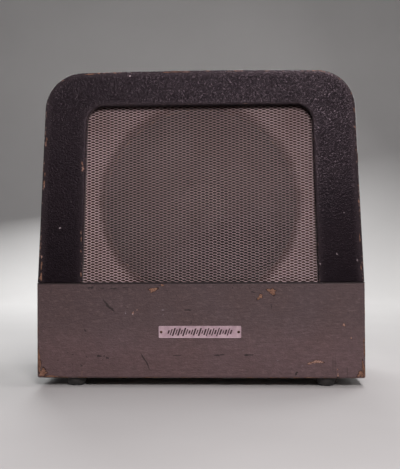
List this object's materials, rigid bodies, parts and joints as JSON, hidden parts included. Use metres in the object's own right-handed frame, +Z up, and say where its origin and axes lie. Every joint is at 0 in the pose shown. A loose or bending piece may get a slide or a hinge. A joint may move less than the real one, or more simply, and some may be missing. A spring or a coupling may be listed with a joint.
{
  "type": "portable loudspeaker",
  "caption": "Cone loudspeaker in a two-tone plywood carrying case with rounded top corners, a recessed expanded-metal grille, a folding handle and a rear cable flap.",
  "frame": {"origin": "on the ground plane under the middle of the case, where the rounded glides rest", "axes": "+X to the right seen from the front, +Y from the grille towards the rear panel, +Z up"},
  "size_m": [0.458, 0.2322, 0.4615],
  "materials": {
    "alnico": "cast magnet alloy",
    "badge_metal": "satin plate with dark filled marks",
    "bakelite": "black phenolic moulding",
    "brass": "lacquered brass, dulled",
    "cable_jacket": "black-brown rubber cable",
    "cone_paper": "black felted paper",
    "copper": "enamelled copper",
    "cork": "cork and board gasket",
    "dark_paint": "dark blue-purple spatter-textured paint over plywood",
    "grey_paint": "warm grey fine spatter paint over plywood",
    "grille_metal": "raised expanded metal, bright, slightly tarnished",
    "impregnated_cloth": "varnished woven cloth",
    "leather": "dark brown stitched leather",
    "paxolin": "brown laminated board",
    "plated_steel": "nickel-plated steel, worn",
    "plywood": "bare birch plywood",
    "pressed_steel": "hammer-grey enamelled pressed steel",
    "rubber": "black moulded rubber",
    "steel": "bare machined steel"
  },
  "bodies": {
    "case": {"case_wrap": "grey_paint", "bottom_board": "plywood", "front_frame": "dark_paint", "lower_front_panel": "grey_paint", "grille_mesh": "grille_metal", "baffle_board": "plywood", "nameplate": "badge_metal", "nameplate_pin_left": "brass", "nameplate_pin_right": "brass", "rear_frame": "plywood", "rear_panel": "dark_paint", "hinge_fixed_leaf": "brass", "hinge_pin": "steel", "catch_strike": "brass", "foot_front_left": "rubber", "foot_front_right": "rubber", "foot_rear_left": "rubber", "foot_rear_right": "rubber", "handle_base_plate": "plated_steel", "handle_pin_left": "steel", "handle_pin_right": "steel", "handle_screw_left": "steel", "handle_screw_right": "steel", "speaker_basket": "pressed_steel", "speaker_gasket": "cork", "cone_surround": "cone_paper", "centring_spider": "impregnated_cloth", "magnet_front_plate": "steel", "magnet_ring": "alnico", "pole_yoke": "steel", "magnet_cover": "pressed_steel", "terminal_board": "paxolin", "tinsel_lead_left": "copper", "tinsel_lead_right": "copper", "cable_post_left": "plywood", "cable_post_right": "plywood", "speaker_cable": "cable_jacket", "plug_body": "bakelite", "plug_contact": "plated_steel", "rear_panel_screw_1": "plated_steel", "rear_panel_screw_2": "plated_steel", "rear_panel_screw_3": "plated_steel", "rear_panel_screw_4": "plated_steel", "rear_panel_screw_5": "plated_steel", "rear_panel_screw_6": "plated_steel", "speaker_screw_1": "plated_steel", "speaker_screw_2": "plated_steel", "speaker_screw_3": "plated_steel", "speaker_screw_4": "plated_steel"},
    "cone": {"speaker_cone": "cone_paper", "dust_cap": "cone_paper", "voice_coil_former": "cone_paper", "voice_coil_winding": "copper"},
    "handle": {"handle_core": "plated_steel", "handle_grip": "leather"},
    "flap": {"cable_flap": "dark_paint", "hinge_moving_leaf": "brass", "catch_barrel": "brass", "flap_knob": "brass"},
    "ball": {"catch_ball": "steel"}
  },
  "joints": [
    {"name": "cone_travel", "type": "slide", "parent": "case", "child": "cone", "axis": [0, 0.9986, -0.0523], "range_m": [-0.004, 0.004], "deforming": ["cone_surround", "centring_spider", "tinsel_lead_left", "tinsel_lead_right"]},
    {"name": "handle_swing", "type": "hinge", "parent": "case", "child": "handle", "pos_m": [0, 0.005, 0.455], "axis": [1, 0, 0], "range_deg": [0, 180]},
    {"name": "flap_swing", "type": "hinge", "parent": "case", "child": "flap", "pos_m": [0, 0.1087, 0.045], "axis": [-1, 0, 0], "range_deg": [0, 105]},
    {"name": "catch_press", "type": "slide", "parent": "flap", "child": "ball", "axis": [0, 0, -1], "range_m": [0, 0.001]}
  ]
}
